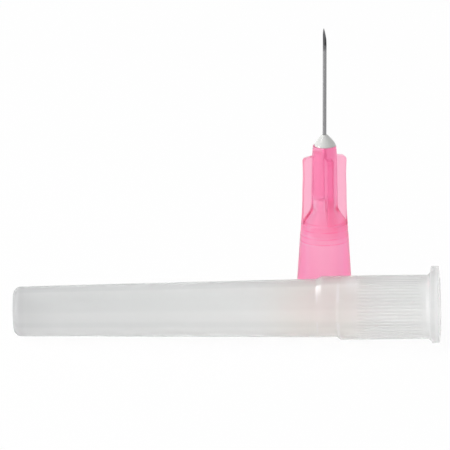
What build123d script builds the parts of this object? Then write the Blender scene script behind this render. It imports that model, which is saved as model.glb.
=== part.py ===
from build123d import *
import math
import os

# Hypodermic needle with its cap taken off and lying in front of it.
# Millimetres and degrees. The origin is the centre of the hub's socket mouth,
# +Z runs up the cannula, and both the hub and the cap stand on z = 0.

# Cannula, a drawn steel tube ground to a three faced point
cannula_dia = 0.46
lumen_dia = 0.26
exposed_length = 13.4        # tip above the top of the adhesive
grind_length = 2.8           # point to heel of the first, long grind
side_grind_angle = 13.0      # slope of the two short grinds from the axis
side_grind_turn = 35.0       # how far the tube is rolled for each of them
point_turn = 29.0            # the ground face looks this far from -Y towards +X

# Hub, one moulding, from its foot upwards
base_dia = 6.72
base_chamfer = 0.15
base_height = 4.0            # straight foot of the barrel
barrel_low_dia = 6.50
low_flare_length = 1.85
barrel_top_dia = 5.86
barrel_length = 5.05
collar_step = 0.04           # the collar is set in by this much above the barrel
collar_taper = 0.05
collar_length = 1.35
shoulder_lip = 0.12          # flat ring round the foot of the shoulder's cone
shoulder_length = 1.75
nose_root_dia = 3.26
nose_length = 7.0
nose_top_dia = 3.00
rim_set_in = 0.08            # the rim is narrower than the nose by this on the radius
rim_length = 0.9
rim_bevel = 0.07

# Fins, one every quarter turn, drafted towards their outer edge
fin_count = 4
fin_turn = 16.5              # the right hand fin points this far from +X towards +Y
fin_root_thickness = 0.90
fin_edge_thickness = 0.74
fin_set_in = 0.14            # the fins' edges lie this far inside the collar's
fin_waist_depth = 0.06
fin_waist_share = 0.47       # place of the waist between the flare and the corner
fin_flare_rise = 2.2         # the flare to the collar starts this far above the nose's root
fin_top_drop = 0.33          # the top edge leaves the nose this far below the nose's top
fin_top_slope = 11.0
fin_corner = 0.42

# Inside of the hub, from the conical socket for a syringe up to the cannula's hole
socket_mouth_dia = 4.30
socket_taper = 0.06          # on the diameter
socket_depth = 9.9
socket_lead = 0.12
throat_step = 0.13           # the throat is narrower than the socket's end
throat_draft = 0.02
throat_rise = 0.05           # the throat ends this far above the shoulder's foot
nose_wall = 0.51             # round the chamber, at the nose's root
chamber_root_drop = 0.3      # the chamber starts this far below the nose's root
chamber_length = 1.5
ceiling_rise = 0.25

# Two lock lugs on the foot of the barrel
lug_span = 7.83
lug_angle = 58.0
lug_edge_height = 0.75
lug_root_height = 1.25
lug_sink = 0.3               # a lug's outline starts this far inside the barrel's wall

# Adhesive, poured round the cannula into a conical well in the nose
rim_wall = 0.22
well_depth = 1.0
well_floor_gap = 0.25        # round the cannula at the well's floor
hole_clearance = 0.03        # between the cannula and its hole in the nose
cannula_end_gap = 0.1        # the cannula stops this far above the chamber's ceiling
crown_height = 1.4
crown_overlap = 0.05         # the crown is this much wider than the well
crown_lean = 0.08            # and stands off centre, towards +X
crown_top_wall = 0.05        # adhesive left round the cannula at the very top
crown_outline = [            # shares of the crown's height, width and lean
    (0, 1, 1),
    (0.32, 0.80, 1),
    (0.65, 0.42, 0.5),
    (1, 0, 0),
]

# Cap, one moulding that is pushed over the hub until its bore closes on the barrel
cap_length = 51.8
cap_end_dia = 6.03
cap_end_round = 0.9
cap_end_wall = 1.1
cap_end_side_wall = 0.68
first_step = 14.95           # distances from the mouth
first_step_length = 0.7
second_step = 12.45
second_step_length = 0.4
tube_wall = 0.64             # at the first step
fin_room = 0.23              # round the fins when the cap is on
seat_height = 5.0            # the bore closes on the barrel at this height of the hub
seat_clearance = 0.0
wide_wall = 0.60
wide_bore_length = 11.8
bore_lead = 0.2
bore_step_length = 0.35
flange_rim = 0.79            # width of the flange beyond the wide part
flange_offset = 0.28         # the flange is off centre, upwards as the cap lies
flange_thickness = 1.0
flange_bevel = 0.1
flange_root_rise = 0.385     # small cone behind the flange
flange_root_length = 0.4
groove_count = 56
groove_start = 2.0
groove_length = 8.0
groove_width = 0.28          # at the surface
groove_depth = 0.07

# Where the cap lies
cap_mouth_x = 13.95
cap_turn = 3.0               # its mouth is turned this far towards the front
lying_gap = 1.90             # between the hub's foot and the wide part beside it

# Heights on the hub, worked out from the lengths above
barrel_low = base_height + low_flare_length
barrel_top = barrel_low + barrel_length
shoulder_foot = barrel_top + collar_length
nose_root = shoulder_foot + shoulder_length
nose_top = nose_root + nose_length
hub_length = nose_top + rim_length
chamber_top = nose_root - chamber_root_drop + chamber_length
well_floor = hub_length - well_depth
cannula_foot = chamber_top + ceiling_rise + cannula_end_gap
crown_top = hub_length + crown_height
tip_height = crown_top + exposed_length

# Radii on the hub and the adhesive
cannula_radius = cannula_dia / 2
base_radius = base_dia / 2
collar_radius = barrel_top_dia / 2 - collar_step - collar_taper
nose_radius = nose_top_dia / 2
fin_reach = collar_radius - fin_set_in
rim_radius = nose_radius - rim_set_in
well_radius = rim_radius - rim_wall
well_floor_radius = cannula_radius + well_floor_gap


def barrel_radius(height):
    """Outer radius of the barrel at a height up to its top."""
    if height <= base_height:
        return base_radius
    if height <= barrel_low:
        share = (height - base_height) / low_flare_length
        return base_radius + share * (barrel_low_dia / 2 - base_radius)
    share = (height - barrel_low) / barrel_length
    return (barrel_low_dia + share * (barrel_top_dia - barrel_low_dia)) / 2


# Radii on the cap, which follow the hub that it closes on
wide_bore_radius = barrel_radius(seat_height) + seat_clearance
wide_radius = wide_bore_radius + wide_wall
tube_bore_radius = fin_reach + fin_room
tube_radius = tube_bore_radius + tube_wall
end_radius = cap_end_dia / 2
band_radius = (wide_radius + tube_radius) / 2
band_offset = (wide_radius - tube_radius) / 2
flange_radius = wide_radius + flange_rim


def turned(points):
    """Solid of revolution about Z from a closed outline of (radius, height)."""
    outline = Polyline([(radius, 0, height) for radius, height in points], close=True)
    return revolve(make_face(outline), Axis.Z)


def rod(radius, low, high, offset=0.0):
    """Round bar along Z between two heights, moved along X by the offset."""
    return Pos(offset, 0, low) * extrude(Circle(radius), high - low)


def between_discs(discs, ruled):
    """Solid through round sections, each a (height, radius, offset along X)."""
    sections = [Pos(offset, 0, height) * Circle(radius) for height, radius, offset in discs]
    return loft(sections, ruled=ruled)


def cut_side(point, normal):
    """Block on the outer side of a grind, whose flat face passes through the point."""
    size = 3 * grind_length
    return extrude(Plane(origin=point, z_dir=normal) * Rectangle(size, size), size)


def make_cannula():
    """Tube with its lumen, ground once along the bevel and twice beside the point."""
    tube = rod(cannula_radius, cannula_foot, tip_height)
    tube -= rod(lumen_dia / 2, cannula_foot, tip_height)
    tip = (-cannula_radius, 0, tip_height)
    bevel = math.atan2(cannula_dia, grind_length)
    tube -= cut_side(tip, (math.cos(bevel), 0, math.sin(bevel)))
    slope = math.radians(side_grind_angle)
    for roll in (-side_grind_turn, side_grind_turn):
        roll = math.radians(roll)
        across = math.cos(slope)
        tube -= cut_side(
            tip, (across * math.cos(roll), across * math.sin(roll), math.sin(slope))
        )
    return Rot(0, 0, point_turn - 90) * tube


def hub_body():
    """Foot, flared barrel, collar, shoulder and nose in one turned outline."""
    return turned([
        (0, 0),
        (base_radius - base_chamfer, 0),
        (base_radius, base_chamfer),
        (base_radius, base_height),
        (barrel_low_dia / 2, barrel_low),
        (barrel_top_dia / 2, barrel_top),
        (barrel_top_dia / 2 - collar_step, barrel_top + collar_step),
        (collar_radius, shoulder_foot),
        (collar_radius - shoulder_lip, shoulder_foot),
        (nose_root_dia / 2, nose_root),
        (nose_radius, nose_top),
        (rim_radius, hub_length - rim_bevel),
        (rim_radius - rim_bevel, hub_length),
        (0, hub_length),
    ])


def fin():
    """One fin on the XZ plane: waisted edge, rounded corner, sloping top, drafted sides."""
    fall = math.tan(math.radians(fin_top_slope))
    top_on_axis = nose_top - fin_top_drop + nose_radius * fall
    corner_height = top_on_axis - fin_reach * fall
    flare_height = nose_root + fin_flare_rise
    waist_height = flare_height + fin_waist_share * (corner_height - flare_height)
    waisted_edge = Spline([
        (collar_radius, 0, shoulder_foot),
        (fin_reach, 0, flare_height),
        (fin_reach - fin_waist_depth, 0, waist_height),
        (fin_reach, 0, corner_height),
    ])
    inside = Polyline([
        (fin_reach, 0, corner_height),
        (0, 0, top_on_axis),
        (0, 0, barrel_top),
        (collar_radius - shoulder_lip, 0, barrel_top),
        (collar_radius, 0, shoulder_foot),
    ])
    plate = extrude(make_face(waisted_edge + inside), fin_root_thickness, both=True)
    # Of the edges across the plate, the highest is on the axis and the next is the corner.
    corner = plate.edges().filter_by(Axis.Y).sort_by(Axis.Z)[-2]
    plate = fillet(corner, fin_corner)
    draft = make_face(Polyline([
        (0, -fin_root_thickness / 2),
        (fin_reach, -fin_edge_thickness / 2),
        (fin_reach + fin_room, -fin_edge_thickness / 2),
        (fin_reach + fin_room, fin_edge_thickness / 2),
        (fin_reach, fin_edge_thickness / 2),
        (0, fin_root_thickness / 2),
    ], close=True))
    return plate & extrude(draft, hub_length)


def lug():
    """One lock lug: a short ear on the foot, its upper side sloping to the barrel."""
    root = base_radius - lug_sink
    outline = make_face(Polyline([
        (root, 0, 0),
        (lug_span / 2, 0, 0),
        (lug_span / 2, 0, lug_edge_height),
        (root, 0, lug_root_height),
    ], close=True))
    return Rot(0, 0, -lug_angle / 2) * revolve(outline, Axis.Z, lug_angle)


def hub_inside():
    """Socket, throat and chamber below, the cannula's hole, and the adhesive's well."""
    slope = socket_taper / 2
    socket_radius = socket_mouth_dia / 2
    socket_end = socket_radius - slope * socket_depth
    throat_radius = socket_end - throat_step
    chamber_radius = nose_root_dia / 2 - nose_wall
    hole_radius = cannula_radius + hole_clearance
    return turned([
        (0, -socket_lead),
        (socket_radius + 2 * socket_lead, -socket_lead),
        (socket_radius - slope * socket_lead, socket_lead),
        (socket_end, socket_depth),
        (throat_radius, socket_depth),
        (throat_radius - throat_draft, shoulder_foot + throat_rise),
        (chamber_radius, nose_root - chamber_root_drop),
        (chamber_radius, chamber_top),
        (hole_radius, chamber_top + ceiling_rise),
        (hole_radius, well_floor),
        (well_floor_radius, well_floor),
        (well_radius, hub_length),
        (well_radius, hub_length + rim_wall),
        (0, hub_length + rim_wall),
    ])


def make_hub():
    """The whole moulding. Two of its fins stand over the two lock lugs."""
    hub = hub_body()
    for number in range(fin_count):
        hub += Rot(0, 0, fin_turn + number * 360 / fin_count) * fin()
    for side in (0, 180):
        hub += Rot(0, 0, fin_turn + side) * lug()
    return hub - hub_inside()


def make_adhesive():
    """Plug that fills the well, with a crown drawn up round the cannula."""
    plug = turned([
        (0, well_floor),
        (well_floor_radius, well_floor),
        (well_radius, hub_length),
        (0, hub_length),
    ])
    top_radius = cannula_radius + crown_top_wall
    foot_radius = well_radius + crown_overlap
    crown = between_discs([
        (
            hub_length + rise * crown_height,
            top_radius + width * (foot_radius - top_radius),
            lean * crown_lean,
        )
        for rise, width, lean in crown_outline
    ], ruled=False)
    return plug + crown - rod(cannula_radius, cannula_foot, tip_height)


def cap_outside():
    """Closed tube, off centre seat band, wide mouth and flange, along +Z from the mouth."""
    tube = turned([
        (0, first_step),
        (tube_radius, first_step),
        (end_radius, cap_length),
        (0, cap_length),
    ])
    rim = tube.edges().filter_by(GeomType.CIRCLE).sort_by(Axis.Z)[-1]
    tube = fillet(rim, cap_end_round)
    band_end = first_step - first_step_length
    wide_end = second_step - second_step_length
    tube += between_discs(
        [(band_end, band_radius, band_offset), (first_step, tube_radius, 0)], ruled=True
    )
    tube += rod(band_radius, second_step, band_end, band_offset)
    tube += between_discs(
        [(wide_end, wide_radius, 0), (second_step, band_radius, band_offset)], ruled=True
    )
    tube += rod(wide_radius, 0, wide_end)
    tube += turned([
        (0, 0),
        (wide_radius + flange_root_rise, 0),
        (wide_radius + flange_root_rise, flange_thickness),
        (wide_radius, flange_thickness + flange_root_length),
        (0, flange_thickness + flange_root_length),
    ])
    flange = rod(flange_radius, 0, flange_thickness, flange_offset)
    flange = chamfer(flange.edges().filter_by(GeomType.CIRCLE), flange_bevel)
    return tube + flange


def cap_inside():
    """Bore that closes on the hub's barrel, then the narrower bore to the closed end."""
    return turned([
        (0, -bore_lead),
        (wide_bore_radius + 2 * bore_lead, -bore_lead),
        (wide_bore_radius, bore_lead),
        (wide_bore_radius, wide_bore_length),
        (tube_bore_radius, wide_bore_length + bore_step_length),
        (end_radius - cap_end_side_wall, cap_length - cap_end_wall),
        (0, cap_length - cap_end_wall),
    ])


def grip_grooves():
    """Fine V grooves along the wide part, evenly round it."""
    # The V stands out of the wall as far as it cuts in, so it is twice as wide there.
    groove = extrude(make_face(Polyline([
        (wide_radius - groove_depth, 0),
        (wide_radius + groove_depth, -groove_width),
        (wide_radius + groove_depth, groove_width),
    ], close=True)), groove_length)
    return [Rot(0, 0, number * 360 / groove_count) * Pos(0, 0, groove_start) * groove
            for number in range(groove_count)]


def lying_plane():
    """Plane of the cap's mouth as it lies, on its flange and on its closed end's round rim.

    The flange touches with the corner of its back bevel and the closed end with a circle
    of radius cap_end_round, whose middle lies end_low from the axis. The tilt solves
    run sin(tilt) = drop cos(tilt) - cap_end_round.
    """
    flange_low = flange_radius - flange_offset
    flange_place = flange_thickness - flange_bevel
    taper = (tube_radius - end_radius) / (cap_length - first_step)
    end_low = end_radius + cap_end_round * (taper - math.hypot(1, taper))
    run = cap_length - cap_end_round - flange_place
    drop = flange_low - end_low
    tilt = math.atan2(drop, run) - math.asin(cap_end_round / math.hypot(run, drop))
    mouth_z = flange_place * math.sin(tilt) + flange_low * math.cos(tilt)
    turn = math.radians(cap_turn)
    mouth_y = -base_radius - lying_gap - wide_radius - cap_mouth_x * math.tan(turn)
    to_end = (
        -math.cos(tilt) * math.cos(turn),
        math.cos(tilt) * math.sin(turn),
        -math.sin(tilt),
    )
    upwards = (
        -math.sin(tilt) * math.cos(turn),
        math.sin(tilt) * math.sin(turn),
        math.cos(tilt),
    )
    return Plane(origin=(cap_mouth_x, mouth_y, mouth_z), x_dir=upwards, z_dir=to_end)


def make_cap():
    """The cap, modelled from its mouth along +Z and then laid down."""
    cap = cap_outside() - grip_grooves() - cap_inside()
    return lying_plane().location * cap


os.makedirs("parts", exist_ok=True)
pieces = {
    "cannula": make_cannula(),
    "hub": make_hub(),
    "adhesive_bead": make_adhesive(),
    "cap": make_cap(),
}
for name, piece in pieces.items():
    export_step(piece, f"parts/{name}.step")
    print(name, "volume", round(piece.volume, 3), "mm3, solids", len(piece.solids()))
mouth = lying_plane()
print("cap mouth", [round(value, 4) for value in mouth.origin], "axis to the closed end",
      [round(value, 6) for value in mouth.z_dir], "bore radius", round(wide_bore_radius, 4))
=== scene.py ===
# %% [markdown]
# # A hypodermic needle, standing behind its cap
# The object has four pieces: a ground steel tube, a pink hub, the adhesive that joins them, and a frosted
# cap that was pulled off and lies in front. The measured model comes from CAD and is loaded first. Blender
# adds finer meshes, the finishes, the light and the camera. The frame is loaded before anything else,
# because every mesh below is built on its sizes and rides on its body.

# %% Load the measured frame
import math

import bpy
import numpy as np
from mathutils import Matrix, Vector


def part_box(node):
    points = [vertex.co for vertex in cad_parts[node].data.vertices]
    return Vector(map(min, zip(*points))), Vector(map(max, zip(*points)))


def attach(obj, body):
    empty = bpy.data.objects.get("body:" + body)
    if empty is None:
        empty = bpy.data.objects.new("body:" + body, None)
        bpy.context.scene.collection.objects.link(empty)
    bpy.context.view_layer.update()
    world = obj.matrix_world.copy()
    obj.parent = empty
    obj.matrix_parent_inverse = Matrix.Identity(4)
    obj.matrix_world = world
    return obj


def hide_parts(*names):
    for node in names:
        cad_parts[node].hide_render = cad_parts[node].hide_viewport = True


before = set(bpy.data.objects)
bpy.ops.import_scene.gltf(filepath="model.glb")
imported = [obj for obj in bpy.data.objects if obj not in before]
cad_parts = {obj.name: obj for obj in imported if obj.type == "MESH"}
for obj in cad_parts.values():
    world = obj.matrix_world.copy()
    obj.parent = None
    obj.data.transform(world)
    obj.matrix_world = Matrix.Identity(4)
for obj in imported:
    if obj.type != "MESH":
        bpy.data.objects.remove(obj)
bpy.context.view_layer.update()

for node in sorted(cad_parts):
    low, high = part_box(node)
    print(node, "from", [round(v * 1000, 2) for v in low], "to", [round(v * 1000, 2) for v in high], "mm")

# %% [markdown]
# ## How the meshes are made
# All four pieces are turned or nearly turned forms, so each is made as a stack of rings. A ring has the same
# number of points at every level, and the mesh is the skin between neighbouring rings. Blender's screw or
# boolean modifiers could make such forms too, but rings let a fin, a groove or an off centre flange be part
# of the one skin, so clear plastic has no hidden wall inside it.

# %% Rings to a skin
MM = 0.001


def make_piece(name, rings, closed, node, sharp_angle):
    """Skin a list of rings (each points x 3, in mm). A closed stack joins its last ring to its first,
    and an open one is shut at both ends by a fan round the ring's middle."""
    count = len(rings[0])
    points = [p for ring in rings for p in ring]
    faces = []
    pairs = [(i, i + 1) for i in range(len(rings) - 1)]
    if closed:
        pairs.append((len(rings) - 1, 0))
    for a, b in pairs:
        for k in range(count):
            n = (k + 1) % count
            faces.append((a * count + k, a * count + n, b * count + n, b * count + k))
    if not closed:
        for ring, first in ((0, 0), (len(rings) - 1, (len(rings) - 1) * count)):
            middle = len(points)
            points.append(np.mean(rings[ring], axis=0))
            for k in range(count):
                n = (k + 1) % count
                fan = (middle, first + n, first + k)
                faces.append(fan if ring == 0 else fan[::-1])
    mesh = bpy.data.meshes.new(name)
    mesh.from_pydata([tuple(float(c) * MM for c in p) for p in points], [], faces)
    mesh.validate()
    for polygon in mesh.polygons:
        polygon.use_smooth = True
    mesh.set_sharp_from_angle(angle=math.radians(sharp_angle))
    piece = bpy.data.objects.new(name, mesh)
    bpy.context.scene.collection.objects.link(piece)
    face_outwards(mesh)
    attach(piece, "root")
    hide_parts(node)
    print(name, len(mesh.vertices), "points,", len(mesh.polygons), "faces, volume",
          round(signed_volume(mesh) / MM ** 3, 2), "mm3")
    return piece


def signed_volume(mesh):
    """Volume inside the skin, which is negative where its faces look inwards."""
    mesh.calc_loop_triangles()
    total = 0.0
    for triangle in mesh.loop_triangles:
        a, b, c = (mesh.vertices[i].co for i in triangle.vertices)
        total += a.dot(b.cross(c)) / 6
    return total


def face_outwards(mesh):
    """Turn every face over if the skin came out inside out."""
    if signed_volume(mesh) < 0:
        mesh.flip_normals()


# %% Circles and outlines
def circle(radius, height, angles):
    """One ring of points round the Z axis. The radius may differ with the direction."""
    return np.column_stack([
        radius * np.cos(angles), radius * np.sin(angles), np.full(len(angles), float(height))
    ])


def eased(outline, steps=3):
    """Round each corner of an outline of (radius, height, corner radius) points with a short arc."""
    out = []
    last = len(outline) - 1
    for i, (r, z, size) in enumerate(outline):
        here = np.array([r, z], float)
        if i in (0, last) or size <= 0:
            out.append((r, z))
            continue
        before = np.array(outline[i - 1][:2], float) - here
        after = np.array(outline[i + 1][:2], float) - here
        reach = min(size, 0.45 * np.linalg.norm(before), 0.45 * np.linalg.norm(after))
        a = here + before / np.linalg.norm(before) * reach
        b = here + after / np.linalg.norm(after) * reach
        for k in range(steps + 1):
            t = k / steps
            p = (1 - t) ** 2 * a + 2 * t * (1 - t) * here + t * t * b
            out.append((float(p[0]), float(p[1])))
    return out


def divided(outline, step):
    """Add points along an outline so that none of its runs is longer than the step."""
    out = [outline[0]]
    for a, b in zip(outline, outline[1:]):
        parts = max(1, math.ceil(math.dist(a, b) / step))
        out += [tuple(a[j] + (b[j] - a[j]) * k / parts for j in range(2)) for k in range(1, parts + 1)]
    return out


# %% [markdown]
# ## The cannula
# The real one is a steel tube drawn to size and ground three times: once along a long bevel, and twice
# beside the point so that it cuts instead of punching. The top of the tube is therefore a height that
# depends only on the place across it, the lowest of three sloping planes. The rings climb the outside, cross
# the ground face, and go down the bore, so the tube is really hollow.

# %% Cannula sizes, from the CAD model, in mm
cannula_radius, bore_radius = 0.23, 0.13
cannula_foot, tip_height = 15.55, 36.7
grind_length = 2.8
side_slope, side_roll = math.radians(13), math.radians(35)
point_turn = math.radians(29 - 90)
print("the ground face is", grind_length, "mm long on a tube", 2 * cannula_radius, "mm wide")


def ground_height(x, y):
    """Height of the ground end over a place across the tube, whose point is at x = -radius."""
    heights = [tip_height - (x + cannula_radius) * grind_length / (2 * cannula_radius)]
    for roll in (-side_roll, side_roll):
        across = (x + cannula_radius) * math.cos(roll) + y * math.sin(roll)
        heights.append(tip_height - across / math.tan(side_slope))
    return min(heights)


# %% Cannula mesh
around = np.linspace(0, 2 * math.pi, 97)[:-1]


def cannula_ring(radius, share):
    """A ring at a share of the way up from the foot to the ground end."""
    ring = []
    for a in around:
        x, y = radius * math.cos(a), radius * math.sin(a)
        z = cannula_foot + share * (ground_height(x, y) - cannula_foot)
        ring.append((
            x * math.cos(point_turn) - y * math.sin(point_turn),
            x * math.sin(point_turn) + y * math.cos(point_turn),
            z,
        ))
    return np.array(ring)


climb = [0, 0.25, 0.5, 0.75, 0.9, 0.97, 1.0]
ground_radii = np.linspace(cannula_radius, bore_radius, 7)[1:-1]
rings = [cannula_ring(cannula_radius, share) for share in climb]
rings += [cannula_ring(radius, 1.0) for radius in ground_radii]
rings += [cannula_ring(bore_radius, share) for share in reversed(climb)]
cannula = make_piece("cannula_ground", rings, True, "cannula", sharp_angle=20)

# %% [markdown]
# ## The hub
# The real hub is one moulding: a foot with two lock lugs, a flared barrel, a collar, a shoulder, and a nose
# with four fins, hollow from end to end. Seen from its axis, each level of the outside is a single distance
# for each direction, also on a fin's flat side. So a ring asks for that distance in every direction, and
# puts more points where a fin has its corners. Two smooth joins, one greater-of and one lesser-of, give the
# fins the small radii that a mould has. The real nose has a conical well that the adhesive fills. Both bend
# light alike, and two touching skins would show a dark cone, so here the nose is solid down to the hole.

# %% Hub sizes, from the CAD model, in mm
hub_length = 21.9
base_radius, foot_inner_radius = 3.36, 2.30
shoulder_foot, shoulder_radius = 12.25, 2.84
nose_root, nose_root_radius = 14.0, 1.63
nose_top, nose_top_radius = 21.0, 1.50
rim_radius, rim_inner_radius = 1.42, 1.20
hole_foot, hole_radius = 15.45, 0.26
chamber_foot, chamber_top, chamber_radius = 13.7, 15.2, 1.12
socket_depth, socket_end_radius, socket_mouth_radius = 9.9, 1.853, 2.143
lug_reach, lug_root, lug_half_angle = 3.915, 3.06, math.radians(29)
lug_edge_height, lug_root_height = 0.75, 1.25

# the fins: their direction, reach and waist, half their width, their sloping top and their small radii
fin_turn = math.radians(16.5)
fin_reach, fin_waist = 2.70, 0.06
fin_flare = nose_root + 2.2
fin_half_root, fin_half_edge = 0.45, 0.37
fin_slope = math.tan(math.radians(11))
fin_top_at_nose = 20.67
fin_top_on_axis = fin_top_at_nose + nose_top_radius * fin_slope
fin_corner, fin_join, fin_edge_round = 0.42, 0.16, 0.10
print("the fins reach", fin_reach, "mm from the axis and meet the nose at", fin_top_at_nose, "mm")


# %% How far a fin reaches
def lesser(a, b, blend):
    """The smaller of two numbers, with the corner between them rounded."""
    h = np.maximum(blend - np.abs(a - b), 0) / blend
    return np.minimum(a, b) - h * h * blend / 4


def greater(a, b, blend):
    return -lesser(-a, -b, blend)


def fin_edge(height):
    """How far a fin reaches at a height: waisted, with a rounded corner and a sloping top."""
    corner = fin_top_on_axis - fin_reach * fin_slope
    if height <= fin_flare:
        t = (height - shoulder_foot) / (fin_flare - shoulder_foot)
        edge = shoulder_radius - (shoulder_radius - fin_reach) * (1 - (1 - min(max(t, 0), 1)) ** 2)
    else:
        t = (height - fin_flare) / (corner - fin_flare)
        edge = fin_reach - fin_waist * math.sin(math.pi * min(t, 1)) ** 2
    if height > corner - fin_corner:
        # a quarter ellipse from the edge into the sloping top
        start = corner - fin_corner
        top = fin_top_on_axis - (edge - fin_corner) * fin_slope
        if height < top:
            t = (height - start) / (top - start)
            edge -= fin_corner * (1 - math.sqrt(max(1 - t * t, 0)))
        else:
            edge = (fin_top_on_axis - height) / fin_slope
    return edge


# %% The outline of the hub, outside and inside, as (radius, height, corner radius)
outside = divided(eased([
    (foot_inner_radius, 0.0, 0.0),
    (base_radius, 0.0, 0.15),
    (base_radius, 4.0, 0.3),
    (3.25, 5.85, 0.5),
    (2.93, 10.9, 0.05),
    (2.89, 10.95, 0.03),
    (shoulder_radius, shoulder_foot, 0.07),
    (2.72, shoulder_foot, 0.05),
    (nose_root_radius, nose_root, 0.35),
    (nose_top_radius, nose_top, 0.05),
    (rim_radius, hub_length - 0.07, 0.3),
    (rim_radius, hub_length, 0.07),
    (rim_inner_radius, hub_length, 0.03),
]), step=0.45)
inside = divided(eased([
    (rim_inner_radius, hub_length, 0.03),
    (hole_radius, hub_length - 0.03, 0.01),
    (hole_radius, hole_foot, 0.03),
    (chamber_radius, chamber_top, 0.06),
    (chamber_radius, chamber_foot, 0.10),
    (1.70, 12.3, 0.06),
    (1.72, socket_depth, 0.05),
    (socket_end_radius, socket_depth, 0.04),
    (socket_mouth_radius, 0.12, 0.06),
    (foot_inner_radius, 0.0, 0.0),
]), step=0.8)

# close levels at the rounded corners of the fins and at the lugs, where the form changes quickly
corner_levels = np.linspace(19.95, 20.68, 18)
lug_levels = (0.60, lug_edge_height, 0.95, 1.07, 1.10)
nose_radii = np.interp(corner_levels, [nose_root, nose_top], [nose_root_radius, nose_top_radius])
outside += [(float(radius), z) for radius, z in zip(nose_radii, corner_levels)]
outside += [(base_radius, z) for z in lug_levels]
# the levels go upwards, and a flat face runs outwards at the foot and inwards elsewhere
outside.sort(key=lambda p: (round(p[1], 4), p[0] if p[1] <= 0.2 else -p[0]))
print("hub outline:", len(outside), "levels outside,", len(inside), "inside")


# %% Hub rings
def half_section(height, body):
    """Angles from a fin's middle to the middle of the gap beside it, and how far the fin reaches."""
    has_fins = shoulder_foot - 0.02 <= height < fin_top_on_axis - 1.4 * fin_slope
    edge = max(fin_edge(height) if has_fins else 0.0, body)
    corner = math.atan2(fin_half_edge, edge)
    root = max(math.asin(min(fin_half_root / body, 0.9)), corner + math.radians(2.5))
    lug = lug_half_angle
    angles = np.concatenate([
        np.linspace(0, corner - math.radians(1.2), 4)[:-1],
        corner + np.radians([-1.2, -0.5, 0.0, 0.5, 1.0]),
        np.linspace(corner + math.radians(1.0), root - math.radians(1.2), 5)[1:-1],
        root + np.radians([-1.2, -0.4, 0.4, 1.2, 2.4]),
        np.linspace(root + math.radians(2.4), lug - math.radians(0.4), 6)[1:],
        [lug + math.radians(0.4)],
        np.linspace(lug + math.radians(0.4), math.radians(45), 6)[1:],
    ])
    return angles, edge


def section_reach(angles, edge, body):
    """The distance to the outside at each angle: the body, or a fin with flat sides that lean a little."""
    if edge <= body + 0.01:
        return np.full_like(angles, body)
    lean = (fin_half_root - fin_half_edge) / fin_reach
    flat = edge / np.cos(angles)
    side = (fin_half_root - lean * edge * 0.9) / np.sin(np.maximum(angles, 1e-4))
    near_root = (fin_half_root - lean * body) / np.sin(np.maximum(angles, 1e-4))
    side = np.where(side < (body + edge) / 2, near_root, side)
    side = np.minimum(side, near_root * 1.05)
    reach = lesser(flat, side, fin_edge_round)
    return greater(reach, np.full_like(reach, body), min(fin_join, (edge - body)))


def hub_ring(body, height):
    """One level of the outside, with four fins, and two lugs under the first and third of them."""
    angles, edge = half_section(height, body)
    reach = section_reach(angles, edge, body)
    on_lug = angles < lug_half_angle
    points, directions = [], []
    for quarter in range(4):
        own = reach.copy()
        if quarter % 2 == 0 and height < 1.2:
            slope = (height - lug_edge_height) / (lug_root_height - lug_edge_height)
            out = lug_reach - max(slope, 0) * (lug_reach - lug_root)
            own = np.where(on_lug, np.maximum(own, out), own)
            if height < 0.15:
                own = np.minimum(own, np.where(on_lug, lug_reach - 0.1, body))
        middle = fin_turn + quarter * math.pi / 2
        directions += [middle - angles[::-1], middle + angles[1:-1]]
        points += [own[::-1], own[1:-1]]
    directions = np.concatenate(directions)
    return circle(np.concatenate(points), height, directions), directions


# %% Hub mesh
rings, ring_directions = map(list, zip(*(hub_ring(body, height) for body, height in outside)))
rings[0] = circle(foot_inner_radius, 0.0, ring_directions[0])
for radius, height in inside[1:-1]:
    # the directions drift from the rim's to the foot's, so the skin closes without a twist
    share = (hub_length - height) / hub_length
    rings.append(circle(radius, height, ring_directions[-1] * (1 - share) + ring_directions[0] * share))
hub = make_piece("hub_moulding", rings, True, "hub", sharp_angle=38)

# %% [markdown]
# ## The adhesive
# White epoxy is dropped into the well of the nose and climbs the cannula before it cures. Only its crown is
# made here, because the hub's own plastic stands for the filled well. The crown leans to one side and creeps
# over the rim there. A drop is a soft form without edges, so its rings follow one smooth curve, and their
# radius drifts a little with direction. It could be sculpted too, but then its size would not be known.

# %% Adhesive mesh
crown_foot, crown_top = hub_length - 0.02, hub_length + 1.4
crown_radius = 1.235
lean_direction, lean_reach, lean_spread = 0.1, 0.15, 0.9
grip_radius = cannula_radius - 0.012  # a little inside the steel, so that no gap shows
crown = [(0.0, 1.00), (0.06, 0.985), (0.14, 0.95), (0.24, 0.885), (0.34, 0.80), (0.45, 0.70), (0.56, 0.585),
         (0.67, 0.46), (0.77, 0.345), (0.86, 0.24), (0.93, 0.15), (0.98, 0.07), (1.0, 0.02)]


def crown_ring(rise, width):
    """A ring at a share of the crown's height, with a share of its width."""
    from_lean = (around - lean_direction + math.pi) % (2 * math.pi) - math.pi
    foot = crown_radius + lean_reach * np.exp(-from_lean ** 2 / lean_spread)
    foot = foot + 0.012 * np.sin(3 * around + 0.6) + 0.008 * np.sin(5 * around)
    collar = cannula_radius + 0.03
    return circle(collar + width * (foot - collar), crown_foot + rise * (crown_top - crown_foot), around)


rings = [circle(grip_radius, crown_foot, around), circle(1.15, crown_foot, around)]
rings += [crown_ring(rise, width) for rise, width in crown]
rings += [circle(grip_radius, crown_top, around)]
adhesive = make_piece("adhesive_crown", rings, True, "adhesive_bead", sharp_angle=50)

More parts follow.
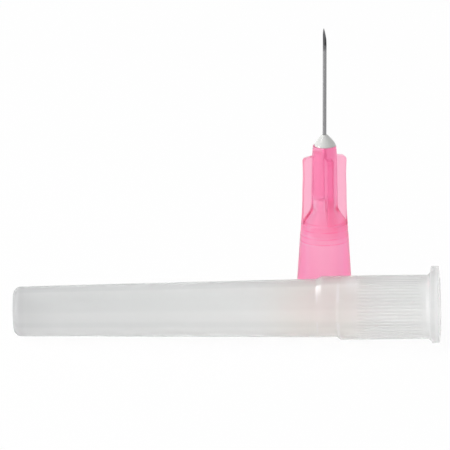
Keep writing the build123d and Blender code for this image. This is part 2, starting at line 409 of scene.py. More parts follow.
# %% [markdown]
# ## The cap
# The real cap is one frosted moulding. Its mouth is wide, grooved for the fingers and flanged, a short seat
# band leads to the tube, and the tube tapers to a closed end with the mark of the gate where the plastic
# came in. It is built along its own axis and laid down at the end, as the real one was turned by a hand
# from upright to lying. The flange and the seat band are off centre, so each ring has its own middle.

# %% Cap sizes, from the CAD model, in mm
cap_length = 51.8
end_radius, end_round = 3.015, 0.9
tube_radius, wide_radius = 3.57, 3.9005
first_step, second_step = 14.95, 12.45
band_radius, band_offset = (wide_radius + tube_radius) / 2, (wide_radius - tube_radius) / 2
flange_radius, flange_offset, flange_thickness = 4.6905, 0.28, 1.0
bore_wide, bore_tube, bore_end = 3.3005, 2.93, 2.335
bore_step, bore_step_length, bore_round = 11.8, 0.35, 0.45
bore_tube_start = bore_step + bore_step_length
end_wall_place = cap_length - 1.1
groove_count, groove_depth, groove_half = 56, 0.07, 0.14
groove_start, groove_end, groove_runout = 2.0, 10.0, 0.25
pitch = 2 * math.pi / groove_count
print(groove_count, "grooves,", round(math.degrees(pitch), 2), "degrees apart")

# %% Cap rings, with the grooves cut into them
groove_angles = np.array([-1.0, -0.5, 0.0, 0.5, 1.0, 1.45, 1.85]) * groove_half / wide_radius
cap_angles = np.concatenate([groove_angles + k * pitch for k in range(groove_count)])
groove_cut = np.tile([0.0, 0.55, 1.0, 0.55, 0.0, 0.0, 0.0], groove_count) * groove_depth


def groove_share(place):
    """How deep the grooves are at a distance from the mouth: full along them, and run out at their ends."""
    return max(0.0, min(1.0, (place - groove_start) / groove_runout, (groove_end - place) / groove_runout))


def cap_ring(radius, place, offset=0.0):
    """A ring at a distance from the mouth, round a line beside the axis. Only the wide part has grooves."""
    reach = np.full(len(cap_angles), float(radius))
    if radius > wide_radius - 0.01:
        reach -= groove_cut * groove_share(place)
    ring = circle(reach, place, cap_angles)
    ring[:, 0] += offset
    return ring


def step_rings(radii, place, length, offsets, shares):
    """Rings that turn one radius and offset into the next over a short length towards the mouth."""
    return [cap_ring(radii[0] + (radii[1] - radii[0]) * share, place - length * share,
                     offsets[0] + (offsets[1] - offsets[0]) * share) for share in shares]


def corner_rings(radius, place, size, angles):
    """Rings round the corner between a side and an end, where both are given as if it were sharp."""
    return [cap_ring(radius - size + size * math.sin(a), place - size + size * math.cos(a)) for a in angles]


# %% The outside of the cap, from the gate's mark to the seat band
quarter_turn = math.pi / 2
gate_mark = ((0.12, 0.03), (0.30, 0.05), (0.42, 0.11), (0.70, 0.12), (0.78, 0.02), (0.88, 0.0), (1.5, 0.0))
rings = [cap_ring(radius, cap_length - sunk) for radius, sunk in gate_mark]
rings += corner_rings(end_radius, cap_length, end_round, np.linspace(0, quarter_turn, 11))
taper = (tube_radius - end_radius) / (cap_length - first_step)
for place in np.linspace(cap_length - end_round - 1.2, first_step + 0.05, 28):
    rings.append(cap_ring(tube_radius - taper * (place - first_step), place))
rings += step_rings((tube_radius, band_radius), first_step, 0.7, (0, band_offset),
                    (0.0, 0.08, 0.3, 0.7, 0.92, 1.0))
rings += [cap_ring(band_radius, place, band_offset) for place in (13.65, 13.05, 12.55)]
print(len(rings), "rings down to the seat band")

# %% The wide part, the flange and the mouth
rings += step_rings((band_radius, wide_radius), second_step, 0.4, (band_offset, 0),
                    (0.0, 0.1, 0.35, 0.7, 0.9, 1.0))
rings += [cap_ring(wide_radius, place) for place in (
    11.4, 10.6, 10.1, 10.0, 9.75, 9.5, 8.0, 6.0, 4.0, 2.6, 2.25, 2.0, 1.8, 1.5)]
rings += [cap_ring(wide_radius + rise, place, shift) for rise, place, shift in (
    (0.04, 1.38, 0.0), (0.20, 1.18, 0.05), (0.36, 1.02, 0.10), (0.40, 1.00, 0.12))]
rings += [cap_ring(radius, place, flange_offset) for radius, place in (
    (4.38, 1.00), (4.565, 1.00), (4.64, 0.985), (4.68, 0.94), (flange_radius, 0.87), (flange_radius, 0.5),
    (flange_radius, 0.13), (4.675, 0.06), (4.625, 0.01), (4.545, 0.0), (4.2, 0.0))]
rings += [cap_ring(radius, place) for radius, place in (
    (3.7, 0.0), (3.53, 0.0), (3.46, 0.02), (3.36, 0.10), (3.31, 0.18), (bore_wide, 0.26))]
print(len(rings), "rings down to the mouth")

# %% The bore of the cap, back to its end wall
rings += [cap_ring(bore_wide, place) for place in np.linspace(1.2, bore_step - 0.1, 10)]
rings += step_rings((bore_wide, bore_tube), bore_step, -bore_step_length, (0, 0), (0.0, 0.15, 0.5, 0.85, 1.0))
bore_taper = (bore_tube - bore_end) / (end_wall_place - bore_tube_start)
for place in np.linspace(bore_tube_start + 0.25, end_wall_place - 0.7, 26):
    rings.append(cap_ring(bore_tube - bore_taper * (place - bore_tube_start), place))
rings += corner_rings(bore_end, end_wall_place, bore_round, np.linspace(quarter_turn, 0, 7))
rings += [cap_ring(radius, end_wall_place) for radius in (1.2, 0.4)]
print(len(rings), "rings in all")

# %% [markdown]
# ## Laying the cap down
# The cap rests on two places: the lowest point of its flange and the round edge of its closed end. The tilt
# between them is worked out from the two radii, and the mouth is turned three degrees towards the viewer.

# %% The plane of the mouth, and the cap laid on the floor
mouth_x, gap_to_hub = 13.95, 1.90
end_low = end_radius + end_round * (taper - math.hypot(1, taper))
flange_low = flange_radius - flange_offset
flange_place = flange_thickness - 0.1
run = cap_length - end_round - flange_place
drop = flange_low - end_low
tilt = math.atan2(drop, run) - math.asin(end_round / math.hypot(run, drop))
turn = math.radians(3)
mouth = Vector((
    mouth_x,
    -base_radius - gap_to_hub - wide_radius - mouth_x * math.tan(turn),
    flange_place * math.sin(tilt) + flange_low * math.cos(tilt),
))
to_end = Vector((-math.cos(tilt) * math.cos(turn), math.cos(tilt) * math.sin(turn), -math.sin(tilt)))
upwards = Vector((-math.sin(tilt) * math.cos(turn), math.sin(tilt) * math.sin(turn), math.cos(tilt)))
sideways = to_end.cross(upwards)
lay = np.array([upwards, sideways, to_end])
rings = [ring @ lay + np.array(mouth) for ring in rings]
cap = make_piece("cap_moulding", rings, False, "cap", sharp_angle=34)
print("the cap's mouth is at", [round(v, 3) for v in mouth], "and it tilts by",
      round(math.degrees(tilt), 2), "degrees")

# %% [markdown]
# ## Finishes: the shared pieces
# A finish is one Principled shader whose sockets are fed by small nodes. Each helper below places one kind of
# node and hands back its output, so that a material reads as a short list of steps. Heights and distances
# are given in mm, as on the real object. The cloudy haze of a moulded or cured plastic is used by three
# finishes, so it is a node group, which puts out numbers only. The fine lines of a drawn metal are one too.

# %% Material helpers
WHITE = (1.0, 1.0, 1.0)


def set_plain(node, **values):
    """Give a node's sockets plain numbers. A _ stands for the space in a socket's name."""
    for title, value in values.items():
        node.inputs[title.replace("_", " ")].default_value = value


def feed(tree, node, **sources):
    """Feed a node's sockets from other nodes' outputs, so that they change over the surface."""
    for title, source in sources.items():
        tree.links.new(source, node.inputs[title.replace("_", " ")])


def start_material(name):
    """A material with one Principled shader, ready to be fed."""
    material = bpy.data.materials.new(name)
    material.use_nodes = True
    tree = material.node_tree
    tree.nodes.clear()
    out = tree.nodes.new("ShaderNodeOutputMaterial")
    shader = tree.nodes.new("ShaderNodeBsdfPrincipled")
    shader.distribution = "MULTI_GGX"
    feed(tree, out, Surface=shader.outputs["BSDF"])
    return material, tree, shader, out


def finish_with(piece, material):
    piece.data.materials.clear()
    piece.data.materials.append(material)
    print(piece.name, "is finished with", material.name)


# %% Helpers for colours
def mix_colours(tree, share, a, b):
    """One colour turned into another by a share. The first may be plain numbers or another node's output."""
    node = tree.nodes.new("ShaderNodeMix")
    node.data_type = "RGBA"
    feed(tree, node, Factor=share)
    if isinstance(a, tuple):
        set_plain(node, A=(*a, 1))
    else:
        feed(tree, node, A=a)
    set_plain(node, B=(*b, 1))
    return node.outputs["Result"]


def multiplied(tree, a, b):
    node = tree.nodes.new("ShaderNodeMix")
    node.data_type = "RGBA"
    node.blend_type = "MULTIPLY"
    set_plain(node, Factor=1.0)
    feed(tree, node, A=a, B=b)
    return node.outputs["Result"]


def deepened(tree, colour, share, by):
    """A colour multiplied by another one where the share is 1, and left alone where it is 0."""
    return multiplied(tree, colour, mix_colours(tree, share, WHITE, by))


# %% Helpers for values
def ranged(tree, value, source, result=(0, 1)):
    """A value brought from one range to another and held at its ends."""
    node = tree.nodes.new("ShaderNodeMapRange")
    feed(tree, node, Value=value)
    set_plain(node, From_Min=source[0], From_Max=source[1], To_Min=result[0], To_Max=result[1])
    return node.outputs["Result"]


def between(tree, value, span, result=(0, 1)):
    """A level that changes over a span, which is given by its two ends in mm."""
    return ranged(tree, value, (span[0] * MM, span[1] * MM), result)


def ramped(tree, value, stops):
    """A level that follows a list of (place, level) stops, for a value from 0 to 1."""
    node = tree.nodes.new("ShaderNodeValToRGB")
    elements = node.color_ramp.elements
    for index, (place, level) in enumerate(stops):
        element = elements[index] if index < 2 else elements.new(place)
        element.position = place
        element.color = (level, level, level, 1)
    feed(tree, node, Fac=value)
    return node.outputs["Color"]


def profile(tree, value, stops):
    """A level that follows a list of (place in mm, level) stops along a direction."""
    start, end = stops[0][0], stops[-1][0]
    shares = [((place - start) / (end - start), level) for place, level in stops]
    return ramped(tree, between(tree, value, (start, end)), shares)


def combined(tree, operation, first, *others):
    """Several values multiplied or subtracted, or their greatest taken."""
    for other in others:
        node = tree.nodes.new("ShaderNodeMath")
        node.operation = operation
        tree.links.new(first, node.inputs[0])
        tree.links.new(other, node.inputs[1])
        first = node.outputs["Value"]
    return first


# %% Helpers for places
def object_place(tree):
    """The place on the object, in metres."""
    return tree.nodes.new("ShaderNodeTexCoord").outputs["Object"]


def parted(tree, place):
    """The X, Y and Z of a place, each an output of its own."""
    node = tree.nodes.new("ShaderNodeSeparateXYZ")
    feed(tree, node, Vector=place)
    return node.outputs


def vector_step(tree, operation, first, second=None):
    """One step of vector arithmetic, with plain numbers or another node's output as its second value."""
    node = tree.nodes.new("ShaderNodeVectorMath")
    node.operation = operation
    tree.links.new(first, node.inputs[0])
    if isinstance(second, bpy.types.NodeSocket):
        tree.links.new(second, node.inputs[1])
    elif second is not None:
        node.inputs[1].default_value = second
    return node.outputs["Value" if operation in ("DOT_PRODUCT", "LENGTH") else "Vector"]


def bumped(tree, shader, height, strength, distance):
    """A relief of a given depth in metres, which bends the light and leaves the mesh alone."""
    node = tree.nodes.new("ShaderNodeBump")
    set_plain(node, Strength=strength, Distance=distance)
    feed(tree, node, Height=height)
    feed(tree, shader, Normal=node.outputs["Normal"])


# %% The two node groups
def new_group(name, numbers, outputs):
    """A node group with a Vector input, named number inputs and named number outputs."""
    tree = bpy.data.node_groups.new(name, "ShaderNodeTree")
    tree.interface.new_socket("Vector", in_out="INPUT", socket_type="NodeSocketVector")
    for title, value in numbers:
        socket = tree.interface.new_socket(title, in_out="INPUT", socket_type="NodeSocketFloat")
        socket.default_value = value
    for title in outputs:
        tree.interface.new_socket(title, in_out="OUTPUT", socket_type="NodeSocketFloat")
    return tree, tree.nodes.new("NodeGroupInput").outputs, tree.nodes.new("NodeGroupOutput")


def place_group(tree, group, vector, **values):
    node = tree.nodes.new("ShaderNodeGroup")
    node.node_tree = group
    feed(tree, node, Vector=vector)
    set_plain(node, **values)
    return node.outputs


def make_drawn_lines():
    """Long thin streaks: a noise that is fine across the Z axis and stretched along it."""
    tree, given, out = new_group(
        "drawn_lines", [("Across", 9000.0), ("Along", 60.0), ("Detail", 4.0)], ["Lines"])
    scale = tree.nodes.new("ShaderNodeCombineXYZ")
    feed(tree, scale, X=given["Across"], Y=given["Across"], Z=given["Along"])
    stretched = vector_step(tree, "MULTIPLY", given["Vector"], scale.outputs["Vector"])
    fine = tree.nodes.new("ShaderNodeTexNoise")
    set_plain(fine, Scale=1.0)
    feed(tree, fine, Detail=given["Detail"], Vector=stretched)
    feed(tree, out, Lines=fine.outputs["Fac"])
    return tree


def make_mould_haze():
    """Soft clouds and a finer grain, as in a moulded plastic that scatters light unevenly."""
    tree, given, out = new_group("mould_haze", [("Cloud", 300.0), ("Grain", 6000.0)], ["Clouds", "Grain"])
    for title, source, detail in (("Clouds", "Cloud", 3.0), ("Grain", "Grain", 5.0)):
        noise = tree.nodes.new("ShaderNodeTexNoise")
        set_plain(noise, Detail=detail)
        feed(tree, noise, Scale=given[source], Vector=given["Vector"])
        tree.links.new(noise.outputs["Fac"], out.inputs[title])
    return tree


drawn_lines = make_drawn_lines()
mould_haze = make_mould_haze()
print("node groups:", drawn_lines.name, "and", mould_haze.name)

# %% [markdown]
# ## Steel of the cannula
# Drawn stainless steel is not polished: it has fine lines along the tube and looks mid grey. The ground face
# is darker. Two materials on two parts of the mesh could say that, but one that tells the ground part by its
# height on the needle needs no border in the mesh. Inside the hub the steel is tinted pink, which softens the
# dark line that it draws in the clear nose.

# %% Steel
steel_dark, steel_light = (0.22, 0.22, 0.225), (0.32, 0.32, 0.325)
ground_steel = (0.15, 0.15, 0.155)
steel_in_hub = (1.0, 0.86, 0.93)
grind_foot = tip_height - grind_length


def make_steel():
    material, tree, shader, _ = start_material("cannula_drawn_steel")
    place = object_place(tree)
    height = parted(tree, place)["Z"]
    lines = place_group(tree, drawn_lines, place, Across=26000.0, Along=150.0)["Lines"]
    colour = mix_colours(tree, lines, steel_dark, steel_light)
    ground = between(tree, height, (grind_foot - 0.15, grind_foot + 0.35))
    colour = mix_colours(tree, ground, colour, ground_steel)
    in_hub = between(tree, height, (hub_length, hub_length + 0.2), (1, 0))
    colour = mix_colours(tree, in_hub, colour, steel_in_hub)
    feed(tree, shader, Base_Color=colour, Roughness=ranged(tree, lines, (0, 1), (0.30, 0.48)))
    set_plain(shader, Metallic=1.0)
    bumped(tree, shader, lines, 0.25, 0.004 * MM)
    return material


finish_with(cannula, make_steel())

# %% [markdown]
# ## Pink plastic of the hub
# The hub is clear polypropylene with a little pink dye, so thick places look deeper than the thin fins. Most
# of that is absorption in the volume. The plastic's real index is about 1.49, but with it the many faces
# lose too much light, so rays are bent less here. The surface has a tint as well: palest on the barrel,
# deeper on the collar, nose and fins. A ray crosses it at least twice, so it acts more strongly than it
# reads. Part of the tint is painted light: the right side of the collar and of the nose is deepened as
# painted shade, the collar's broken deep pink rings are painted shade lines where the inner steps show
# through, and pale streaks on its left are painted glints. Apart from that painted light, all of it could
# come from the volume alone only if every hidden wall were known.

# %% Tints of the hub, some of them painted shade and glints
# the right of the collar gets a deeper tint, which is painted shade
barrel_tint, collar_tint, collar_right_shade_tint = (1.0, 0.80, 0.86), (1.0, 0.745, 0.83), (1.0, 0.56, 0.68)
# a deep pink for the collar's rings, which are painted shade lines where the inner steps show through
ring_shade_tint = (1.0, 0.34, 0.52)
# the tint for the right of the nose is painted shade
nose_tint, nose_right_shade_tint, nose_top_tint = (0.975, 0.585, 0.705), (0.95, 0.78, 0.86), (0.975, 0.85, 0.91)
chamber_tint, fin_tint, hole_tint = (1.0, 0.74, 0.84), (1.0, 0.58, 0.70), (0.945, 0.70, 0.81)

# the spans over which they come or go, in mm: z up from the hub's foot, and x to the right of its axis
# the last span bounds the pale streaks on the collar's left, which are painted glints
collar_z, collar_right_shade_x, glint_streaks_x = (10.0, 11.0), (-1.5, 2.6), (-2.3, -0.6)
chamber_z, chamber_x = (15.6, 16.1), (0.1, 0.6)
# the spans of the painted shade on the right of the nose
nose_right_shade_z, nose_right_shade_x, nose_right_shade_end_x = (14.0, 15.2), (0.0, 0.25), (1.15, 1.5)
nose_top_z, nose_top_x, nose_top_end_x = (19.4, 20.0), (-0.5, 0.2), (1.15, 1.4)
hole_wall = (hole_radius + 0.04, hole_radius + 0.14)
fin_root_low, fin_root_high = 2.78, 1.66
# heights of the collar's rings, which are painted shade lines where the inner steps show through
shade_ring_heights, shade_ring_width = (10.1, 10.76, 11.6, 12.45), 0.12
# heights of the pale streaks, which are painted glints
glint_streak_heights, glint_streak_width = (9.94, 10.98, 12.2), 0.20
print("the collar has rings at", shade_ring_heights, "mm and pale streaks at", glint_streak_heights, "mm")


def pulses(heights, width):
    """Stops of a level that rises to 1 at each height and is 0 between them."""
    return [(height + step * width, level) for height in heights for step, level in ((-1, 0), (0, 1), (1, 0))]


def barrel_and_collar(tree, x, z, clouds):
    """The barrel's tint turns into the collar's, with painted shade on its right, broken rings of painted
    shade and, on the left, pale streaks that are painted glints.
    """
    on_collar = between(tree, z, collar_z)
    tint = mix_colours(tree, on_collar, barrel_tint, collar_tint)
    # painted shade: the right of the collar is deepened
    right = combined(tree, "MULTIPLY", on_collar, between(tree, x, collar_right_shade_x, (0, 0.8)))
    tint = mix_colours(tree, right, tint, collar_right_shade_tint)
    # rings of painted shade, where the inner steps show through
    broken = ranged(tree, clouds, (0.36, 0.56))
    rings = combined(tree, "MULTIPLY", profile(tree, z, pulses(shade_ring_heights, shade_ring_width)), broken)
    tint = mix_colours(tree, rings, tint, ring_shade_tint)
    # painted glints: pale streaks on the left of the collar
    left = between(tree, x, glint_streaks_x, (0.9, 0))
    streaks = combined(tree, "MULTIPLY", profile(tree, z, pulses(glint_streak_heights, glint_streak_width)), left)
    return mix_colours(tree, streaks, tint, WHITE)


def nose_and_fins(tree, tint, x, z, from_axis):
    """Above the shoulder, the nose, its chamber, its fins and the cannula's hole each have their own tint,
    and painted shade deepens the right of the nose.
    """
    above = between(tree, z, (shoulder_foot - 0.2, nose_root))
    tint = mix_colours(tree, above, tint, nose_tint)
    chamber = combined(tree, "MULTIPLY", above, between(tree, z, chamber_z, (0.9, 0)),
                       between(tree, x, chamber_x, (1, 0)))
    tint = mix_colours(tree, chamber, tint, chamber_tint)
    fin_root = between(tree, z, (shoulder_foot, nose_root), (fin_root_low * MM, fin_root_high * MM))
    beyond_root = combined(tree, "SUBTRACT", from_axis, fin_root)
    on_fin = combined(tree, "MULTIPLY", between(tree, beyond_root, (0.0, 0.15)),
                      between(tree, z, (shoulder_foot, shoulder_foot + 0.3)))
    tint = mix_colours(tree, on_fin, tint, fin_tint)
    # painted shade: the right of the nose is deepened
    nose_right_shade = combined(tree, "MULTIPLY", between(tree, z, nose_right_shade_z), between(tree, x, nose_right_shade_x),
                          between(tree, x, nose_right_shade_end_x, (1, 0)))
    tint = deepened(tree, tint, nose_right_shade, nose_right_shade_tint)
    at_top = combined(tree, "MULTIPLY", between(tree, z, nose_top_z), between(tree, x, nose_top_x),
                      between(tree, x, nose_top_end_x, (1, 0)))
    tint = deepened(tree, tint, at_top, nose_top_tint)
    return mix_colours(tree, between(tree, from_axis, hole_wall, (1, 0)), tint, hole_tint)


# %% Pink plastic
def make_pink():
    material, tree, shader, out = start_material("hub_pink_polypropylene")
    place = object_place(tree)
    haze = place_group(tree, mould_haze, place, Cloud=420.0, Grain=9000.0)
    clouds = haze["Clouds"]
    axes = parted(tree, place)
    x, z = axes["X"], axes["Z"]
    from_axis = vector_step(tree, "LENGTH", vector_step(tree, "MULTIPLY", place, (1, 1, 0)))
    tint = nose_and_fins(tree, barrel_and_collar(tree, x, z, clouds), x, z, from_axis)
    cloudy = mix_colours(tree, clouds, (1.0, 0.96, 0.98), WHITE)
    feed(tree, shader, Base_Color=multiplied(tree, cloudy, tint),
         Roughness=ranged(tree, clouds, (0, 1), (0.27, 0.38)))
    set_plain(shader, IOR=1.22, Transmission_Weight=0.97, Coat_Weight=0.08, Coat_Roughness=0.08)
    bumped(tree, shader, haze["Grain"], 0.15, 0.01 * MM)
    dye = tree.nodes.new("ShaderNodeVolumeAbsorption")
    set_plain(dye, Color=(0.9985, 0.516, 0.758, 1), Density=420.0)
    feed(tree, out, Volume=dye.outputs["Volume"])
    return material


finish_with(hub, make_pink())

# %% [markdown]
# ## White epoxy
# Cured epoxy is a filled resin, off white, with a smooth skin and a faint warm mottling. Its colour is a mid
# grey of about one half, because the lamp on the left brings the near side up to white. Subsurface
# scattering could soften it further, but on a drop of two millimetres nobody would see that.

# %% Epoxy
epoxy_dark, epoxy_light = (0.50, 0.505, 0.49), (0.56, 0.565, 0.55)


def make_epoxy():
    material, tree, shader, _ = start_material("adhesive_white_epoxy")
    clouds = place_group(tree, mould_haze, object_place(tree), Cloud=900.0, Grain=12000.0)["Clouds"]
    feed(tree, shader, Base_Color=mix_colours(tree, clouds, epoxy_dark, epoxy_light),
         Roughness=ranged(tree, clouds, (0, 1), (0.18, 0.32)))
    set_plain(shader, Coat_Weight=0.4, Coat_Roughness=0.10)
    bumped(tree, shader, clouds, 0.2, 0.03 * MM)
    return material


finish_with(adhesive, make_epoxy())

# %% [markdown]
# ## Frosted plastic of the cap
# Natural polypropylene has no dye. It scatters so much that a hub behind it is only a pink blur. A rough
# transmission does the blurring, and the share of the shader that does not transmit stands for the milky
# scattering. Seen along its length the real tube shows long bands, where its walls bend the light, and pale
# marks, where its steps, its mouth and its rim catch it. A finer simulation could find them, but not within
# a few samples, so they are painted into the colour as tints: the bands are painted light and shade, and
# the marks, with a soft patch where the grooves run out, are painted highlights. A warm tint near the steps
# is a painted glow of the pink hub behind. The skin has a gloss of its own near the mouth, and less of it
# towards the closed end.

# %% Tints of the cap, many of them painted light, shade and highlights
# the dark and light ends of the painted light and shade bands round the section
painted_band_dark, painted_band_light = (0.855, 0.862, 0.857), (0.975, 0.975, 0.968)
# the warm tint is a painted glow of the pink hub behind the cap
hub_glow_tint, far_tint, end_tint = (1.0, 0.99, 0.965), (0.915, 0.915, 0.92), (0.80, 0.80, 0.805)
section_up, section_front = (0, 0.284, 0.959), (0, -0.959, 0.284)

# painted light and shade bands round the section, from its underside at 0 to its top at 1
painted_bands_round = [(0.0, 0.95), (0.16, 1.0), (0.19, 0.42), (0.25, 0.42), (0.29, 0.88), (0.44, 0.85),
               (0.50, 0.45), (0.70, 0.35), (0.80, 0.50), (0.86, 0.75), (0.88, 0.15), (1.0, 0.15)]
# painted highlights round the section: arcs at the steps, and a patch where the grooves run out
highlight_arcs_round = [(0.06, 0), (0.10, 1), (0.24, 1), (0.28, 0), (0.56, 0), (0.64, 1), (0.86, 1), (0.90, 0)]
highlight_patch_round = [(0.70, 0), (0.86, 0.9), (0.93, 0.9), (0.99, 0)]

# levels along the cap, in mm from its mouth
# along the cap: the painted highlight arcs at the two steps, and the patch
highlight_arcs_along = [(11.94, 0), (12.08, 1), (12.29, 1), (12.43, 0), (14.6, 0), (14.705, 1), (14.81, 1), (14.915, 0)]
highlight_patch_along = [(9.28, 0), (10.12, 1), (10.54, 1), (11.94, 0)]
# where the painted glow of the hub behind comes and goes
hub_glow_along = [(8, 0), (11.5, 1), (17.1, 1), (22, 0)]
neck_along = [(0.40, 0), (0.52, 0.82), (1.20, 0.82), (1.60, 0)]
far_along = [(17, 0), (24, 0.35), (45, 1)]
end_along = [(46, 0), (50.2, 0.25), (51.22, 1)]
# the span of the painted highlight on the rim of the mouth, and the span where the skin's gloss fades
rim_highlight_span, gloss_span = (0.32, 0.45), (17, 26)
print("bands round the cap change at", len(painted_bands_round), "places, and its gloss over", gloss_span, "mm")


def cap_places(tree, place):
    """The distance from the mouth, the share of the way up the section, and 1 on the side in front."""
    from_mouth = vector_step(tree, "SUBTRACT", place, mouth * MM)
    along = vector_step(tree, "PROJECT", from_mouth, to_end)
    outwards = vector_step(tree, "NORMALIZE", vector_step(tree, "SUBTRACT", from_mouth, along))
    depth = vector_step(tree, "DOT_PRODUCT", from_mouth, to_end)
    rise = ranged(tree, vector_step(tree, "DOT_PRODUCT", outwards, section_up), (-1, 1))
    front = ranged(tree, vector_step(tree, "DOT_PRODUCT", outwards, section_front), (-0.1, 0.1))
    return depth, rise, front


def painted_highlights(tree, depth, rise, clouds):
    """Painted highlights: an arc at each of the two steps, a soft patch where the grooves run out, and the
    rim of the mouth.
    """
    arcs = combined(tree, "MULTIPLY", profile(tree, depth, highlight_arcs_along), ramped(tree, rise, highlight_arcs_round))
    patch = combined(tree, "MULTIPLY", profile(tree, depth, highlight_patch_along), ramped(tree, rise, highlight_patch_round),
                     ranged(tree, clouds, (0.36, 0.54), (0.45, 1.0)))
    return combined(tree, "MAXIMUM", arcs, patch, between(tree, depth, rim_highlight_span, (1, 0)))


def bands_and_marks(tree, depth, rise, front, clouds):
    """Painted light and shade bands round the section, a painted warm glow of the hub near the steps, greyer
    to the closed end and in the flange's neck.
    """
    tint = mix_colours(tree, ramped(tree, rise, painted_bands_round), painted_band_dark, painted_band_light)
    # painted glow of the pink hub behind, near the steps
    tint = deepened(tree, tint, profile(tree, depth, hub_glow_along), hub_glow_tint)
    grey = combined(tree, "MAXIMUM", profile(tree, depth, far_along), profile(tree, depth, neck_along))
    tint = deepened(tree, tint, grey, far_tint)
    tint = deepened(tree, tint, profile(tree, depth, end_along), end_tint)
    # painted highlights, on the side in front only
    marks = combined(tree, "MULTIPLY", painted_highlights(tree, depth, rise, clouds), front)
    return mix_colours(tree, marks, tint, WHITE)


def flow_clouds(tree, place, clouds):
    """Clouds that are mostly drawn out along the cap, the way the plastic flowed into its mould."""
    lengthways = tree.nodes.new("ShaderNodeMapping")
    set_plain(lengthways, Rotation=(0, 0, turn), Scale=(30.0, 900.0, 900.0))
    feed(tree, lengthways, Vector=place)
    flow = tree.nodes.new("ShaderNodeTexNoise")
    set_plain(flow, Scale=1.0, Detail=3.0)
    feed(tree, flow, Vector=lengthways.outputs["Vector"])
    both = tree.nodes.new("ShaderNodeMix")
    set_plain(both, Factor=0.6)
    feed(tree, both, A=clouds, B=flow.outputs["Fac"])
    return both.outputs["Result"]


# %% Frosted plastic
def make_frosted():
    material, tree, shader, _ = start_material("cap_frosted_polypropylene")
    place = object_place(tree)
    haze = place_group(tree, mould_haze, place, Cloud=130.0, Grain=7000.0)
    clouds = flow_clouds(tree, place, haze["Clouds"])
    depth, rise, front = cap_places(tree, place)
    cloudy = mix_colours(tree, clouds, (0.96, 0.965, 0.965), WHITE)
    feed(tree, shader, Base_Color=multiplied(tree, cloudy, bands_and_marks(tree, depth, rise, front, clouds)),
         Roughness=ranged(tree, clouds, (0, 1), (0.56, 0.70)),
         Coat_Weight=between(tree, depth, gloss_span, (1.0, 0.35)))
    set_plain(shader, IOR=1.49, Transmission_Weight=0.84, Coat_Roughness=0.10)
    bumped(tree, shader, haze["Grain"], 0.12, 0.01 * MM)
    return material


finish_with(cap, make_frosted())

# %% [markdown]
# ## Floor
# The photograph has a plain white ground. The floor is a pale matt sheet that takes the real shadow. More
# light on it would turn it white, but would also bleach the object, so the Light Path node does it: for the
# camera, for gloss and for light that came through the plastic, most of the sheet is a plain white of
# strength 1. A smaller share of that white lights the object from below, as a brightly lit sheet would.

# %% Floor
floor_half = 1.2
paper_dark, paper_light = (0.90, 0.90, 0.90), (0.93, 0.93, 0.93)
white_when_lighting, white_when_seen = 0.70, 0.94


def seen_directly(tree):
    """1 for camera, glossy and transmission rays, and 0 for the rest."""
    path = tree.nodes.new("ShaderNodeLightPath")
    kinds = ("Is Camera Ray", "Is Glossy Ray", "Is Transmission Ray")
    return combined(tree, "MAXIMUM", *(path.outputs[kind] for kind in kinds))


def mix_shaders(tree, share, first, second, out):
    mix = tree.nodes.new("ShaderNodeMixShader")
    feed(tree, mix, Fac=share)
    tree.links.new(first, mix.inputs[1])
    tree.links.new(second, mix.inputs[2])
    feed(tree, out, Surface=mix.outputs["Shader"])


def make_paper():
    material, tree, shader, out = start_material("floor_pale_paper")
    grain = tree.nodes.new("ShaderNodeTexNoise")
    set_plain(grain, Scale=900.0)
    feed(tree, grain, Vector=object_place(tree))
    feed(tree, shader, Base_Color=mix_colours(tree, grain.outputs["Fac"], paper_dark, paper_light))
    set_plain(shader, Roughness=0.9)
    plain_white = tree.nodes.new("ShaderNodeEmission")
    share = ranged(tree, seen_directly(tree), (0, 1), (white_when_lighting, white_when_seen))
    mix_shaders(tree, share, shader.outputs["BSDF"], plain_white.outputs["Emission"], out)
    return material


floor_mesh = bpy.data.meshes.new("floor_sheet")
floor_corners = [(x * floor_half, y * floor_half, 0) for x, y in ((-1, -1), (1, -1), (1, 1), (-1, 1))]
floor_mesh.from_pydata(floor_corners, [], [(0, 1, 2, 3)])
floor = bpy.data.objects.new("floor_sheet", floor_mesh)
bpy.context.scene.collection.objects.link(floor)
floor.location.z = -0.02 * MM
finish_with(floor, make_paper())

# %% [markdown]
# ## World
# A white studio has no horizon, so what is seen of the world is the same plain white. The light that it
# gives is moderate and uneven: strongest from low on the left in front, weakest from the opposite side. An
# image of a studio could give that too, but a direction and two strengths say it in one line.

# %% World
bright_side = (-0.80, -0.42, -0.43)
weakest, strongest = 0.30, 1.50


def make_world():
    world = bpy.data.worlds.new("studio")
    world.use_nodes = True
    tree = world.node_tree
    tree.nodes.clear()
    out = tree.nodes.new("ShaderNodeOutputWorld")
    lighting, seen = tree.nodes.new("ShaderNodeBackground"), tree.nodes.new("ShaderNodeBackground")
    for background in (lighting, seen):
        set_plain(background, Color=(1, 1, 1, 1))
    direction = tree.nodes.new("ShaderNodeTexCoord").outputs["Generated"]
    towards = vector_step(tree, "DOT_PRODUCT", direction, bright_side)
    feed(tree, lighting, Strength=ranged(tree, towards, (-1, 1), (weakest, strongest)))
    mix_shaders(tree, seen_directly(tree), lighting.outputs["Background"], seen.outputs["Background"], out)
    return world


bpy.context.scene.world = make_world()
print("the world's light is", weakest, "to", strongest, "by direction")

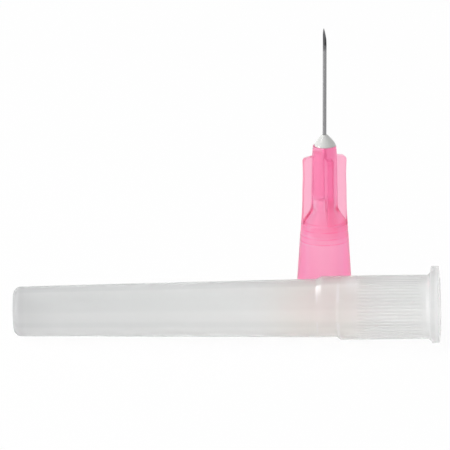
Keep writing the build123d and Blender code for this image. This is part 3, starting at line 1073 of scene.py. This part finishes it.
# %% [markdown]
# ## Lamps
# Three soft boxes, each aimed at the middle of the object. The one low on the left lights that side of the
# adhesive. The long strip higher on the left draws the highlights on the cap's two steps, and the weak one
# overhead and behind lights what faces up. All are large beside the object, so no shadow is hard. Spot lamps
# could be placed there too, but would give hard shadows and small glints.

# %% Lamps
object_middle = Vector((-0.005, -0.004, 0.012))


def soft_box(name, place, size, power):
    """A rectangular lamp, with its place and size in metres and its power in watts."""
    lamp = bpy.data.lights.new(name, "AREA")
    lamp.shape = "RECTANGLE"
    lamp.size, lamp.size_y = size
    lamp.energy = power
    box = bpy.data.objects.new(name, lamp)
    bpy.context.scene.collection.objects.link(box)
    box.location = place
    box.rotation_mode = "QUATERNION"
    box.rotation_quaternion = (object_middle - Vector(place)).to_track_quat("-Z", "Y")
    print(name, "of", size, "m gives", power, "W")


soft_box("box_left", (-0.40, -0.16, 0.08), (0.13, 0.17), 0.80)
soft_box("strip_left", (-0.29, 0.01, 0.36), (0.46, 0.04), 0.36)
soft_box("box_overhead", (-0.04, 0.11, 0.41), (0.50, 0.04), 0.14)

# %% [markdown]
# ## Camera
# The photograph looks down by about sixteen degrees and has almost no perspective, so the camera has a very
# long lens and stands two metres away. Its aim is the point of the object that the middle of the frame
# shows. An orthographic camera would come close too, but has no perspective at all. Light has to pass the
# many walls of the clear pieces, so it may bounce more often than by default.

# %% Camera
elevation = math.radians(16.5)
distance = 2.0
frame_width = 0.05488
sensor_width = 36.0
aim = Vector((-12.098, 3.221, 10.874)) * MM
look = Vector((0, math.cos(elevation), -math.sin(elevation)))
camera_data = bpy.data.cameras.new("long_lens")
camera_data.sensor_width = sensor_width
camera_data.lens = sensor_width * distance / frame_width
camera = bpy.data.objects.new("long_lens", camera_data)
bpy.context.scene.collection.objects.link(camera)
camera.location = aim - look * distance
camera.rotation_mode = "QUATERNION"
camera.rotation_quaternion = look.to_track_quat("-Z", "Y")
bpy.context.scene.camera = camera
bpy.context.scene.view_settings.view_transform = "Standard"
bpy.context.scene.cycles.max_bounces = 24
bpy.context.scene.cycles.glossy_bounces = 16
bpy.context.scene.cycles.transmission_bounces = 24
print("lens", round(camera_data.lens), "mm, camera at", [round(v, 3) for v in camera.location])
